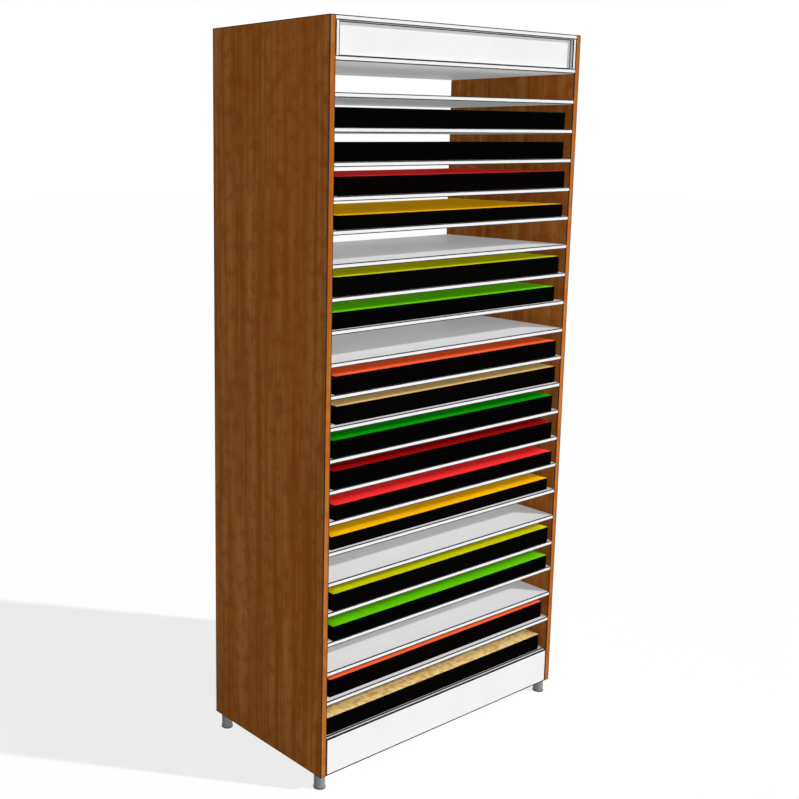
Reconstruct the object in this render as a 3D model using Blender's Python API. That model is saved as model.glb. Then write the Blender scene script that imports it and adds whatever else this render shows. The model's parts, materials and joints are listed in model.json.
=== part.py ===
"""Tall paper display rack: two timber side panels, twenty fixed white shelves, a header box with
a recessed sign panel, a plinth on four levelling feet, and piles of coloured paper on the shelves.

Metres, +Z up. The front faces -Y. The origin is on the floor, in the middle of the rack.
"""
import math

import bmesh
import bpy

# Sheets of paper that the bays are made for, and the room left beside and behind them
SHEET_WIDTH = 0.848
SHEET_DEPTH = 0.400
SPARE_WIDTH = 0.037
SPARE_DEPTH = 0.056

# Boards
PANEL_THICKNESS = 0.018
BOARD_THICKNESS = 0.012
FIT_GAP = 0.0003
CUT_OVERRUN = 0.010
MERGE_DISTANCE = 0.00003

# Clear heights, from the floor up
GROUND_CLEARANCE = 0.040
KICK_HEIGHT = 0.102
LOWEST_BAY_HEIGHT = 0.092
BAY_HEIGHT = 0.068
TOP_BAY_HEIGHT = 0.071
SIGN_RECESS_HEIGHT = 0.079
SHELF_COUNT = 20

# Stopped housings that hold the boards' ends in the side panels
HOUSING_DEPTH = 0.006
HOUSING_STOP = 0.012

# Header box
SIGN_RECESS_DEPTH = 0.012
SIGN_STILE_WIDTH = 0.012
SIGN_PANEL_THICKNESS = 0.006

# Levelling feet
FOOT_INSET_SIDE = 0.017
FOOT_BEHIND_KICK = 0.012
FOOT_BEFORE_RAIL = 0.018
POST_RADIUS = 0.015
POST_FLARE_HEIGHT = 0.006
POST_EDGE_CHAMFER = 0.001
GLIDE_RADIUS = 0.0165
GLIDE_THICKNESS = 0.003
GLIDE_EDGE_CHAMFER = 0.0008
PIVOT_RADIUS = 0.005
PIVOT_HEIGHT = 0.004
STUD_RADIUS = 0.005
STUD_LENGTH = 0.030
STUD_TIP_CHAMFER = 0.001
STUD_HOLE_SIDE_ROOM = 0.0015
STUD_HOLE_END_ROOM = 0.004
PLATE_THICKNESS = 0.003
PLATE_LENGTH = 0.034
PLATE_INNER_REACH = 0.026
PLATE_PANEL_LIP = 0.003
PLATE_CLEAT_LIP = 0.004
BOSS_WALL = 0.003
BOSS_HEIGHT = 0.009
ROUND_STEPS = 32

# Each pile: bay from the top, paper, how full its bay is, and how far right and back it lies there,
# as shares of the bay's height, spare width and spare depth
PILE_SHARES = (
    (2, "leaf_green", 0.68, 0.15, 0.02),
    (3, "dark_red", 0.68, 0.11, 0.02),
    (4, "red", 0.68, 0.42, 0.02),
    (5, "amber", 0.51, 0.35, 0.02),
    (7, "olive_yellow", 0.71, 0.23, 0.02),
    (8, "lime_green", 0.62, 0.10, 0.14),
    (10, "orange", 0.68, 0.39, 0.02),
    (11, "tan", 0.69, 0.84, 0.23),
    (12, "leaf_green", 0.68, 0.25, 0.02),
    (13, "dark_red", 0.69, 0.34, 0.02),
    (14, "red", 0.57, 0.49, 0.02),
    (15, "amber", 0.51, 0.44, 0.18),
    (17, "olive_yellow", 0.68, 0.50, 0.02),
    (18, "lime_green", 0.57, 0.50, 0.02),
    (20, "orange", 0.71, 0.58, 0.25),
    (21, "cork_tan", 0.52, 0.46, 0.27),
)

# Surface of each material: colour (linear), roughness, metallic
SURFACES = {
    "side_wood": ((0.440, 0.138, 0.023), 0.55, 0.0),
    "white_board": ((0.86, 0.86, 0.86), 0.45, 0.0),
    "plinth_timber": ((0.52, 0.37, 0.21), 0.70, 0.0),
    "plate_steel": ((0.50, 0.51, 0.52), 0.40, 1.0),
    "foot_metal": ((0.34, 0.35, 0.36), 0.38, 1.0),
    "glide_black": ((0.03, 0.03, 0.03), 0.60, 0.0),
    "leaf_green": ((0.000, 0.319, 0.000), 0.75, 0.0),
    "dark_red": ((0.319, 0.000, 0.000), 0.75, 0.0),
    "red": ((1.000, 0.032, 0.032), 0.75, 0.0),
    "amber": ((1.000, 0.521, 0.000), 0.75, 0.0),
    "olive_yellow": ((0.604, 0.604, 0.000), 0.75, 0.0),
    "lime_green": ((0.133, 0.604, 0.000), 0.75, 0.0),
    "orange": ((1.000, 0.133, 0.033), 0.75, 0.0),
    "tan": ((0.888, 0.558, 0.171), 0.80, 0.0),
    "cork_tan": ((0.913, 0.665, 0.258), 0.85, 0.0),
}

# Places worked out from the sizes above
PANEL_INNER = (SHEET_WIDTH + SPARE_WIDTH) / 2
HALF_WIDTH = PANEL_INNER + PANEL_THICKNESS
HALF_DEPTH = (SHEET_DEPTH + SPARE_DEPTH) / 2
FRONT = -HALF_DEPTH
REAR = HALF_DEPTH
BASE = GROUND_CLEARANCE
DECK_TOP = BASE + KICK_HEIGHT
DECK_UNDERSIDE = DECK_TOP - BOARD_THICKNESS
LOWEST_UNDERSIDE = DECK_TOP + LOWEST_BAY_HEIGHT
SHELF_PITCH = BAY_HEIGHT + BOARD_THICKNESS
HEADER_UNDERSIDE = LOWEST_UNDERSIDE + SHELF_COUNT * SHELF_PITCH - BAY_HEIGHT + TOP_BAY_HEIGHT
HEADER_BASE_TOP = HEADER_UNDERSIDE + BOARD_THICKNESS
TOP_UNDERSIDE = HEADER_BASE_TOP + SIGN_RECESS_HEIGHT
TOP = TOP_UNDERSIDE + BOARD_THICKNESS
KICK_BACK = FRONT + BOARD_THICKNESS
RAIL_FRONT = REAR - BOARD_THICKNESS
CLEAT_WIDTH = PLATE_INNER_REACH + PLATE_CLEAT_LIP
STUD_HOLE_RADIUS = STUD_RADIUS + STUD_HOLE_SIDE_ROOM
STUD_HOLE_DEPTH = STUD_LENGTH + STUD_HOLE_END_ROOM
BOSS_RADIUS = STUD_RADIUS + BOSS_WALL
POST_TOP = BASE - FIT_GAP


def shelf_underside(number):
    """Height of the underside of a shelf, numbered from the top."""
    return LOWEST_UNDERSIDE + (SHELF_COUNT - number) * SHELF_PITCH


def bay_floor_and_height(number):
    """Height of the board under a shelf bay, and the bay's clear height, numbered from the top."""
    if number > SHELF_COUNT:
        return DECK_TOP, LOWEST_BAY_HEIGHT
    return shelf_underside(number) + BOARD_THICKNESS, BAY_HEIGHT


def clear_scene():
    """Remove every object that the file opened with."""
    for old in list(bpy.data.objects):
        bpy.data.objects.remove(old, do_unlink=True)


def surface(name):
    """Return the named material, made on first use."""
    found = bpy.data.materials.get(name)
    if found:
        return found
    colour, roughness, metallic = SURFACES[name]
    made = bpy.data.materials.new(name)
    made.use_nodes = True
    shader = made.node_tree.nodes["Principled BSDF"]
    shader.inputs["Base Color"].default_value = (*colour, 1.0)
    shader.inputs["Roughness"].default_value = roughness
    shader.inputs["Metallic"].default_value = metallic
    return made


def empty(name, location):
    """Add an empty that carries a group of pieces."""
    made = bpy.data.objects.new(name, None)
    made.empty_display_size = BOARD_THICKNESS
    made.location = location
    bpy.context.collection.objects.link(made)
    return made


def finish(name, shape, location, surface_name, parent=None):
    """Turn a bmesh into a named object at a place, with its own surface."""
    mesh = bpy.data.meshes.new(name)
    bmesh.ops.recalc_face_normals(shape, faces=shape.faces)
    shape.to_mesh(mesh)
    shape.free()
    made = bpy.data.objects.new(name, mesh)
    bpy.context.collection.objects.link(made)
    made.location = location
    if parent:
        made.parent = parent
        made.location = [place - base for place, base in zip(location, parent.location)]
    if surface_name:
        mesh.materials.append(surface(surface_name))
    return made


def add_box(shape, low, high):
    """Add a box between two corners to a bmesh."""
    corners = bmesh.ops.create_cube(shape, size=1.0)["verts"]
    for corner in corners:
        corner.co = [
            low[axis] if corner.co[axis] < 0 else high[axis]
            for axis in range(3)
        ]


def board(name, low, high, surface_name, parent):
    """Add a square-edged board between two world corners, with its origin at its middle."""
    middle = [(a + b) / 2 for a, b in zip(low, high)]
    shape = bmesh.new()
    add_box(
        shape,
        [a - m for a, m in zip(low, middle)],
        [b - m for b, m in zip(high, middle)],
    )
    return finish(name, shape, middle, surface_name, parent)


def cutter(name, boxes, rods):
    """Add one wire-drawn cutting tool made of world boxes and upright rods (x, y, low, high, radius)."""
    shape = bmesh.new()
    for low, high in boxes:
        add_box(shape, low, high)
    for x, y, low, high, radius in rods:
        made = bmesh.ops.create_cone(
            shape,
            cap_ends=True,
            segments=ROUND_STEPS,
            radius1=radius,
            radius2=radius,
            depth=high - low,
        )
        bmesh.ops.translate(shape, verts=made["verts"], vec=(x, y, (low + high) / 2))
    tool = finish(name, shape, (0, 0, 0), None)
    tool.hide_render = True
    tool.display_type = "WIRE"
    return tool


def cut(target, tool):
    """Cut a tool's shape out of a board with a Boolean modifier."""
    change = target.modifiers.new(tool.name, "BOOLEAN")
    change.operation = "DIFFERENCE"
    change.solver = "EXACT"
    change.object = tool


def turned(name, profile, location, surface_name, parent):
    """Turn a profile of (radius, height) points, axis to axis, about the upright through a place."""
    shape = bmesh.new()
    points = [shape.verts.new((radius, 0, height)) for radius, height in profile]
    edges = [shape.edges.new(pair) for pair in zip(points, points[1:])]
    bmesh.ops.spin(
        shape,
        geom=points + edges,
        cent=(0, 0, 0),
        axis=(0, 0, 1),
        angle=math.tau,
        steps=ROUND_STEPS,
        use_merge=True,
    )
    bmesh.ops.remove_doubles(shape, verts=shape.verts, dist=MERGE_DISTANCE)
    made = finish(name, shape, location, surface_name, parent)
    made.data.shade_smooth()
    made.data.set_sharp_from_angle(angle=math.radians(30))
    return made


def foot_places():
    """Name, side, front-or-rear and axis of each levelling foot."""
    front_y = KICK_BACK + FOOT_BEHIND_KICK
    rear_y = RAIL_FRONT - FOOT_BEFORE_RAIL
    places = []
    for end, row, y in (("front", -1, front_y), ("rear", 1, rear_y)):
        for hand, side in (("left", -1), ("right", 1)):
            x = side * (HALF_WIDTH - FOOT_INSET_SIDE)
            places.append((f"{end}_{hand}", side, row, x, y))
    return places


def plate_span(side, row):
    """Low and high corners, in plan, of a foot's mounting plate."""
    outer = side * (HALF_WIDTH - PLATE_PANEL_LIP - FIT_GAP)
    inner = side * (PANEL_INNER - PLATE_INNER_REACH)
    end = KICK_BACK + 2 * FIT_GAP if row < 0 else RAIL_FRONT - 2 * FIT_GAP
    middle = end - row * PLATE_LENGTH
    return (min(outer, inner), min(end, middle)), (max(outer, inner), max(end, middle))


def foot_recesses(side):
    """Boxes and rods that let both of one side's mounting plates, bosses and studs into the wood."""
    boxes = []
    rods = []
    below = BASE - CUT_OVERRUN
    boss_end = BASE + PLATE_THICKNESS + BOSS_HEIGHT + 2 * FIT_GAP
    for _, foot_side, row, x, y in foot_places():
        if foot_side != side:
            continue
        (x0, y0), (x1, y1) = plate_span(side, row)
        low = (x0 - FIT_GAP, y0 - FIT_GAP, below)
        high = (x1 + FIT_GAP, y1 + FIT_GAP, BASE + PLATE_THICKNESS + FIT_GAP)
        boxes.append((low, high))
        rods.append((x, y, below, boss_end, BOSS_RADIUS + FIT_GAP))
        rods.append((x, y, below, BASE + STUD_HOLE_DEPTH, STUD_HOLE_RADIUS))
    return boxes, rods


def housing(side, low, high, front):
    """Box that cuts one housing into a side panel's inner face, open at the rear edge."""
    face = side * (PANEL_INNER - CUT_OVERRUN)
    bottom = side * (PANEL_INNER + HOUSING_DEPTH)
    return (
        (min(face, bottom), front, low - FIT_GAP),
        (max(face, bottom), REAR + CUT_OVERRUN, high + FIT_GAP),
    )


def side_panels(carcass):
    """The two timber side panels, with their housings and foot recesses."""
    stop = FRONT + HOUSING_STOP
    for hand, side in (("left", -1), ("right", 1)):
        inner = side * PANEL_INNER
        outer = side * HALF_WIDTH
        panel = board(
            f"{hand}_side_panel",
            (min(inner, outer), FRONT, BASE),
            (max(inner, outer), REAR, TOP),
            "side_wood",
            carcass,
        )
        undersides = [shelf_underside(number) for number in range(1, SHELF_COUNT + 1)]
        undersides += [HEADER_UNDERSIDE, DECK_UNDERSIDE]
        boxes = [housing(side, low, low + BOARD_THICKNESS, stop) for low in undersides]
        boxes.append(housing(side, TOP_UNDERSIDE, TOP + CUT_OVERRUN, stop))
        cut(panel, cutter(f"{hand}_panel_housings", boxes, []))
        boxes, rods = foot_recesses(side)
        for number, box in enumerate(boxes):
            cut(panel, cutter(f"{hand}_panel_plate_recess_{number}", [box], []))
        for number, rod in enumerate(rods):
            cut(panel, cutter(f"{hand}_panel_bore_{number}", [], [rod]))


def housed_board(name, underside, carcass):
    """A board whose ends run in the housings, cut back at the front corners to pass the stops."""
    body_x = PANEL_INNER - FIT_GAP
    tongue_x = PANEL_INNER + HOUSING_DEPTH - FIT_GAP
    shoulder = HOUSING_STOP + FIT_GAP - HALF_DEPTH
    outline = [
        (-body_x, FRONT),
        (body_x, FRONT),
        (body_x, shoulder),
        (tongue_x, shoulder),
        (tongue_x, REAR),
        (-tongue_x, REAR),
        (-tongue_x, shoulder),
        (-body_x, shoulder),
    ]
    shape = bmesh.new()
    half = BOARD_THICKNESS / 2
    face = shape.faces.new([shape.verts.new((x, y, -half)) for x, y in outline])
    raised = bmesh.ops.extrude_face_region(shape, geom=[face])["geom"]
    upper = [part for part in raised if isinstance(part, bmesh.types.BMVert)]
    bmesh.ops.translate(shape, verts=upper, vec=(0, 0, BOARD_THICKNESS))
    return finish(name, shape, (0, 0, underside + half), "white_board", carcass)


def shelves(carcass):
    """The twenty shelves, numbered from the top."""
    for number in range(1, SHELF_COUNT + 1):
        housed_board(f"shelf_{number:02d}", shelf_underside(number), carcass)


def header_box(carcass):
    """Top board, base board, two stiles and the sign panel set back behind them."""
    housed_board("top_board", TOP_UNDERSIDE, carcass)
    housed_board("header_base_board", HEADER_UNDERSIDE, carcass)
    low_z = HEADER_BASE_TOP + FIT_GAP
    high_z = TOP_UNDERSIDE - FIT_GAP
    stile_back = FRONT + SIGN_RECESS_DEPTH
    wall = PANEL_INNER - FIT_GAP
    edge = PANEL_INNER - SIGN_STILE_WIDTH
    for hand, side in (("left", -1), ("right", 1)):
        board(
            f"header_{hand}_stile",
            (min(side * edge, side * wall), FRONT, low_z),
            (max(side * edge, side * wall), stile_back, high_z),
            "white_board",
            carcass,
        )
    sign_front = stile_back + FIT_GAP
    board(
        "sign_panel",
        (-wall, sign_front, low_z),
        (wall, sign_front + SIGN_PANEL_THICKNESS, high_z),
        "white_board",
        carcass,
    )


def plinth(carcass):
    """Bottom board, kick panel, rear rail and the two cleats that hold the feet."""
    wall = PANEL_INNER - FIT_GAP
    tongue = PANEL_INNER + HOUSING_DEPTH - FIT_GAP
    under_deck = DECK_UNDERSIDE - FIT_GAP
    board(
        "bottom_board",
        (-tongue, KICK_BACK + FIT_GAP, DECK_UNDERSIDE),
        (tongue, REAR, DECK_TOP),
        "white_board",
        carcass,
    )
    board("kick_panel", (-wall, FRONT, BASE), (wall, KICK_BACK, DECK_TOP), "white_board", carcass)
    board(
        "rear_plinth_rail",
        (-wall, RAIL_FRONT, BASE),
        (wall, REAR, under_deck),
        "white_board",
        carcass,
    )
    for hand, side in (("left", -1), ("right", 1)):
        edge = side * (PANEL_INNER - CLEAT_WIDTH)
        cleat = board(
            f"{hand}_plinth_cleat",
            (min(edge, side * wall), KICK_BACK + FIT_GAP, BASE),
            (max(edge, side * wall), RAIL_FRONT - FIT_GAP, under_deck),
            "plinth_timber",
            carcass,
        )
        boxes, rods = foot_recesses(side)
        for number, box in enumerate(boxes):
            cut(cleat, cutter(f"{hand}_cleat_plate_recess_{number}", [box], []))
        for number, rod in enumerate(rods):
            cut(cleat, cutter(f"{hand}_cleat_bore_{number}", [], [rod]))


def mounting_plate(name, side, row, x, y, carcass):
    """Steel plate let into the underside, with an upright threaded boss for the stud."""
    (x0, y0), (x1, y1) = plate_span(side, row)
    top = BASE + PLATE_THICKNESS
    plate = board(
        f"{name}_foot_plate",
        (x0, y0, BASE),
        (x1, y1, top),
        "plate_steel",
        carcass,
    )
    boss = cutter(f"{name}_foot_boss", [], [(x, y, BASE + FIT_GAP, top + BOSS_HEIGHT, BOSS_RADIUS)])
    joined = plate.modifiers.new(boss.name, "BOOLEAN")
    joined.operation = "UNION"
    joined.solver = "EXACT"
    joined.object = boss
    thread = (x, y, BASE - CUT_OVERRUN, top + BOSS_HEIGHT + CUT_OVERRUN, STUD_RADIUS + FIT_GAP)
    cut(plate, cutter(f"{name}_foot_thread", [], [thread]))


def levelling_foot(name, x, y):
    """Post with its stud, and the glide that it turns on, both on the foot's upright axis."""
    axis = empty(f"{name}_foot_axis", (x, y, 0))
    glide_top = GLIDE_THICKNESS
    post_foot = glide_top + FIT_GAP
    flare_top = post_foot + POST_FLARE_HEIGHT
    stud_tip = POST_TOP + STUD_LENGTH
    socket_top = glide_top + PIVOT_HEIGHT + FIT_GAP
    socket_radius = PIVOT_RADIUS + FIT_GAP
    turned(
        f"{name}_foot_post",
        [
            (0, stud_tip),
            (STUD_RADIUS - STUD_TIP_CHAMFER, stud_tip),
            (STUD_RADIUS, stud_tip - STUD_TIP_CHAMFER),
            (STUD_RADIUS, POST_TOP),
            (POST_RADIUS - POST_EDGE_CHAMFER, POST_TOP),
            (POST_RADIUS, POST_TOP - POST_EDGE_CHAMFER),
            (POST_RADIUS, flare_top),
            (GLIDE_RADIUS, post_foot),
            (socket_radius, post_foot),
            (socket_radius, socket_top),
            (0, socket_top),
        ],
        (x, y, 0),
        "foot_metal",
        axis,
    )
    turned(
        f"{name}_foot_glide",
        [
            (0, glide_top + PIVOT_HEIGHT),
            (PIVOT_RADIUS, glide_top + PIVOT_HEIGHT),
            (PIVOT_RADIUS, glide_top),
            (GLIDE_RADIUS, glide_top),
            (GLIDE_RADIUS, GLIDE_EDGE_CHAMFER),
            (GLIDE_RADIUS - GLIDE_EDGE_CHAMFER, 0),
            (0, 0),
        ],
        (x, y, 0),
        "glide_black",
        axis,
    )


def paper_piles():
    """The loose piles of paper, each named after its bay and lying on the board below it."""
    stock = empty("paper_stock", (0, 0, 0))
    for bay, paper, full_share, right_share, back_share in PILE_SHARES:
        left = -PANEL_INNER + right_share * SPARE_WIDTH
        front = FRONT + back_share * SPARE_DEPTH
        floor, height = bay_floor_and_height(bay)
        low = floor + FIT_GAP
        board(
            f"paper_pile_{bay:02d}",
            (left, front, low),
            (left + SHEET_WIDTH, front + SHEET_DEPTH, low + full_share * height),
            paper,
            stock,
        )


def build_rack():
    """Build the whole rack."""
    clear_scene()
    carcass = empty("carcass", (0, 0, BASE))
    side_panels(carcass)
    header_box(carcass)
    shelves(carcass)
    plinth(carcass)
    for name, side, row, x, y in foot_places():
        mounting_plate(name, side, row, x, y, carcass)
        levelling_foot(name, x, y)
    paper_piles()


build_rack()
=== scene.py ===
"""Finishes and detail for an open paper display rack, laid out as a Blender add-on.

Run as a script it loads the packed solids, dresses them piece by piece and sets up the studio.
All lengths are in metres, in the solids' own frame: X to the rack's right, Y to its back, Z up.
"""

import json
import math
import random

import bpy
from bpy.props import FloatProperty, FloatVectorProperty, IntProperty, PointerProperty
from bpy.types import Operator, Panel, PropertyGroup
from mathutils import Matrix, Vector

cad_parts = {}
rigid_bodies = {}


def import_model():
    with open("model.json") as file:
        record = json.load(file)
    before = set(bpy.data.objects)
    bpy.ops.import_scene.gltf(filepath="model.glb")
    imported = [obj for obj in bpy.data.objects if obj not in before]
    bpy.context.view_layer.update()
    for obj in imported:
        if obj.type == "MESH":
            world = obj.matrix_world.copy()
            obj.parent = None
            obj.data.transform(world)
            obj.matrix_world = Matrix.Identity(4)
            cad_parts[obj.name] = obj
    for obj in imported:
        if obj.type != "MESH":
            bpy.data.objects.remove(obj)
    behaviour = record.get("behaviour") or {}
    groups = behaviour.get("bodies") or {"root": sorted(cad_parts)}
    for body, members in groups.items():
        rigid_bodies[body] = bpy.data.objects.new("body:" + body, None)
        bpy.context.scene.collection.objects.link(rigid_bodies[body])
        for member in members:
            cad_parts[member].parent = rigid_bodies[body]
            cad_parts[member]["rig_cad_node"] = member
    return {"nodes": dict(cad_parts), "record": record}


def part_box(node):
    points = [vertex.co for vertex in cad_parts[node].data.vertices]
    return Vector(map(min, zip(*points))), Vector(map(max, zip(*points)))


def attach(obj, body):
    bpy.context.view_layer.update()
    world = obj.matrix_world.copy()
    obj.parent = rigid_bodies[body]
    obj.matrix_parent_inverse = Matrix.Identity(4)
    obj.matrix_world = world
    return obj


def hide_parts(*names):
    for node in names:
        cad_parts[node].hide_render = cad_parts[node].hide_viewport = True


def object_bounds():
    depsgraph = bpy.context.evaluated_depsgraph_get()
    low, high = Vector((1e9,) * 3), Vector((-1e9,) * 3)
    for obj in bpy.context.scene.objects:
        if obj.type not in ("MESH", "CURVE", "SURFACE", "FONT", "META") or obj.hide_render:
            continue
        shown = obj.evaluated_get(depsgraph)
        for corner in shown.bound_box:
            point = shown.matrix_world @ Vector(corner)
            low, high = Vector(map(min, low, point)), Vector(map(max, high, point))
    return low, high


bl_info = {
    "name": "Paper Display Rack",
    "version": (1, 0, 0),
    "blender": (4, 5, 0),
    "location": "3D View > Sidebar > Display Rack",
    "description": "Dresses the packed solids of an open paper display rack",
    "category": "Add Mesh",
}

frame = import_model()
CAD_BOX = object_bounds()

# The packed record's own finish colours, and the finish that each solid names
RECORD_COLOURS = {made["slot"]: tuple(made["base_color"]) for made in frame["record"]["materials"]}
NODE_SLOTS = {part["node"]: part["material_slot"] for part in frame["record"]["subparts"]}
NODE_BODIES = {
    node: body for body, nodes in frame["record"]["behaviour"]["bodies"].items() for node in nodes
}

FOOT_PLACES = ("front_left", "front_right", "rear_left", "rear_right")
HEADER_NODES = (
    "top_board",
    "header_base_board",
    "header_left_stile",
    "header_right_stile",
    "sign_panel",
)
PANEL_NODES = ("left_side_panel", "right_side_panel")
SHELF_NODES = tuple(sorted(node for node in frame["nodes"] if node.startswith("shelf_")))
PILE_NODES = tuple(sorted(node for node in frame["nodes"] if node.startswith("paper_pile_")))

WHITE = (1.0, 1.0, 1.0, 1.0)

# A corner that the import left in several vertices is joined again below this distance
WELD_DISTANCE = 0.00001
# Faces within this angle of each other are one flat face
FLAT_ANGLE = math.radians(1.0)
# Round parts shade smoothly up to this angle between faces, and are rounded off above the next
ROUND_ANGLE = math.radians(32.0)
SHARP_ANGLE = math.radians(50.0)
ROUNDING_SEGMENTS = 2
# An eased arris stays close to square: 0.5 is round and 1 is sharp
ARRIS_SQUARENESS = 0.93
ARRIS_SEGMENTS = 4
# A point this near a face of its board's box is on it
ON_FACE_DISTANCE = 0.00005
# Moves a box's end this far off, so that no arris is found on it
NO_SUCH_FACE = 1.0
# Each plate screw's distance from the plate's middle, along the rack's depth
SCREW_SPREAD = 0.0115
SCREW_SIDES = 24
# Cells of the top sheet across the rack and along its depth
SHEET_CELLS = (28, 14)
# How far off the lamps' markers hang. They are suns, so it doesn't change the light
LAMP_DISTANCE = 4.0


# Settings


def colour_setting(name, description, default):
    """A colour in linear light that the sidebar shows as a swatch."""
    return FloatVectorProperty(
        name=name,
        description=description,
        subtype="COLOR",
        size=3,
        min=0.0,
        max=1.0,
        default=tuple(default),
    )


def length_setting(name, description, default):
    """A small length in metres."""
    return FloatProperty(
        name=name, description=description, unit="LENGTH", min=0.0, precision=5, default=default
    )


def strength_setting(name, description, default):
    """A lamp's strength."""
    return FloatProperty(name=name, description=description, min=0.0, default=default)


class RackBoardSettings(PropertyGroup):
    """Sizes and colours of the white boards."""

    face: colour_setting("Face", "Satin white face of the boards", RECORD_COLOURS["white_board"])
    smudge: colour_setting("Handled face", "The white face where hands have dulled it", (0.80, 0.795, 0.78))
    core: colour_setting("Core line", "Dark core that shows along each arris", (0.010, 0.0095, 0.009))
    arris: length_setting("Core line width", "Width of the core line on each face", 0.0024)
    kick_arris: length_setting("Kick core line width", "Wider core line of the kick panel", 0.0036)


class RackTimberSettings(PropertyGroup):
    """Sizes and colours of the timber."""

    deep: colour_setting("Deep streak", "Darkest streaks of the side panels", (0.392, 0.112, 0.008))
    light: colour_setting("Light streak", "Lightest streaks of the side panels", (0.600, 0.246, 0.058))
    warm: colour_setting("Warm band", "Redder bands of the side panels", (0.510, 0.127, 0.013))
    fleck: colour_setting("Fleck", "Soft dark flecks of the side panels", (0.395, 0.092, 0.009))
    arris_stain: colour_setting("Arris stain", "Stain gathered along the arrises", (0.020, 0.008, 0.003))
    arris: length_setting("Arris", "Width of the stained arris on each face", 0.0024)
    softwood: colour_setting(
        "Softwood", "Bare softwood inside the plinth", RECORD_COLOURS["plinth_timber"]
    )
    softwood_late: colour_setting("Late wood", "Darker rings of the softwood", (0.36, 0.215, 0.095))


class RackFootSettings(PropertyGroup):
    """Sizes and colours of the levelling feet and their fixings."""

    post: colour_setting("Post", "Satin grey coat of the posts", (0.250, 0.264, 0.275))
    glide: colour_setting("Glide", "Black plastic of the glides", (0.018, 0.018, 0.019))
    scuff: colour_setting("Scuffs", "Grey scratches in the glides' plastic", (0.12, 0.12, 0.12))
    plate: colour_setting("Plate", "Zinc on the mounting plates", RECORD_COLOURS["plate_steel"])
    edge: length_setting("Edge rounding", "Rounding of the turned edges", 0.0004)
    screw_radius: length_setting("Screw head radius", "Radius of the plate screws' heads", 0.0034)
    screw_height: length_setting("Screw head height", "How far the screws' heads stand proud", 0.0019)


class RackPaperSettings(PropertyGroup):
    """Sizes and colours of the piles of sheets."""

    sheet: length_setting("Sheet thickness", "Thickness of one sheet of card", 0.0008)
    ragged: length_setting("Raggedness", "How far a sheet may lie back from the pile's side", 0.0007)
    curl: length_setting("Curl", "How far the top sheet rises and falls", 0.0007)
    seed: IntProperty(name="Seed", description="Another way for the sheets to lie", default=7, min=0)
    edges: colour_setting("Cut edges", "Near-black cut edges", (0.0012, 0.0012, 0.0012))
    leaf_green: colour_setting("Leaf green", "Bays 2 and 12", RECORD_COLOURS["leaf_green"])
    dark_red: colour_setting("Dark red", "Bays 3 and 13", RECORD_COLOURS["dark_red"])
    red: colour_setting("Red", "Bays 4 and 14", RECORD_COLOURS["red"])
    amber: colour_setting("Amber", "Bays 5 and 15", RECORD_COLOURS["amber"])
    olive_yellow: colour_setting("Olive yellow", "Bays 7 and 17", RECORD_COLOURS["olive_yellow"])
    lime_green: colour_setting("Lime green", "Bays 8 and 18", RECORD_COLOURS["lime_green"])
    orange: colour_setting("Orange", "Bays 10 and 20", RECORD_COLOURS["orange"])
    tan: colour_setting("Tan", "Bay 11, fibrous", RECORD_COLOURS["tan"])
    tan_strand: colour_setting("Tan strands", "Darker strands in bay 11", (0.50, 0.345, 0.150))
    cork_tan: colour_setting("Cork tan", "Bay 21, speckled", RECORD_COLOURS["cork_tan"])
    cork_dark: colour_setting("Cork dark", "Darker patches and granules in bay 21", (0.52, 0.29, 0.08))
    cork_pale: colour_setting("Cork pale", "Paler patches in bay 21", (0.69, 0.51, 0.23))


class RackStageSettings(PropertyGroup):
    """Light, floor and camera of the studio."""

    floor: colour_setting("Floor", "Pale floor", (0.455, 0.455, 0.455))
    floor_size: length_setting("Floor size", "Length of the floor's side", 60.0)
    floor_glow: FloatProperty(
        name="Floor glow",
        description="Plain white added to the floor that the camera sees",
        subtype="FACTOR",
        min=0.0,
        max=1.0,
        default=0.66,
    )
    sky: strength_setting("Sky", "Strength of the sky", 0.03)
    key: strength_setting("Key", "Strength of the main lamp", 2.05)
    key_size: FloatProperty(
        name="Key size",
        description="Angle that the main lamp fills",
        subtype="ANGLE",
        default=math.radians(1.6),
    )
    fill: strength_setting("Front fill", "Strength of the broad front lamp", 0.36)
    rear: strength_setting("Rear fill", "Strength of the broad rear lamp", 0.05)
    even_above: strength_setting("Even light above", "Shadowless, on faces that look up", 1.06)
    even_below: strength_setting("Even light below", "Shadowless, on undersides", 1.04)
    even_sides: strength_setting("Even light beside", "Shadowless, on both sides", 0.66)
    even_front: strength_setting("Even light in front", "Shadowless, on the front", 1.38)
    even_rear: strength_setting("Even light behind", "Shadowless, on the rear", 1.45)
    fill_size: FloatProperty(
        name="Fill size",
        description="Angle that each broad lamp fills",
        subtype="ANGLE",
        default=math.radians(60.0),
    )


SETTINGS = {
    "display_rack_boards": RackBoardSettings,
    "display_rack_timber": RackTimberSettings,
    "display_rack_feet": RackFootSettings,
    "display_rack_paper": RackPaperSettings,
    "display_rack_stage": RackStageSettings,
}


# Building node trees


def put(tree, kind, inputs=None, **settings):
    """Adds one node. An input is a value or another node's output socket, by the input's name or number."""
    made = tree.nodes.new(kind)
    for name, value in settings.items():
        setattr(made, name, value)
    for key, value in (inputs or {}).items():
        socket = made.inputs[key]
        if isinstance(value, bpy.types.NodeSocket):
            tree.links.new(value, socket)
        else:
            socket.default_value = value
    return made


def maths(tree, operation, first, second=0.0):
    """One Math node's output."""
    made = put(tree, "ShaderNodeMath", {0: first, 1: second}, operation=operation)
    return made.outputs[0]


def vector_maths(tree, operation, first, second=(0.0, 0.0, 0.0)):
    """One Vector Math node's output."""
    made = put(tree, "ShaderNodeVectorMath", {0: first, 1: second}, operation=operation)
    return made.outputs[0]


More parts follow.
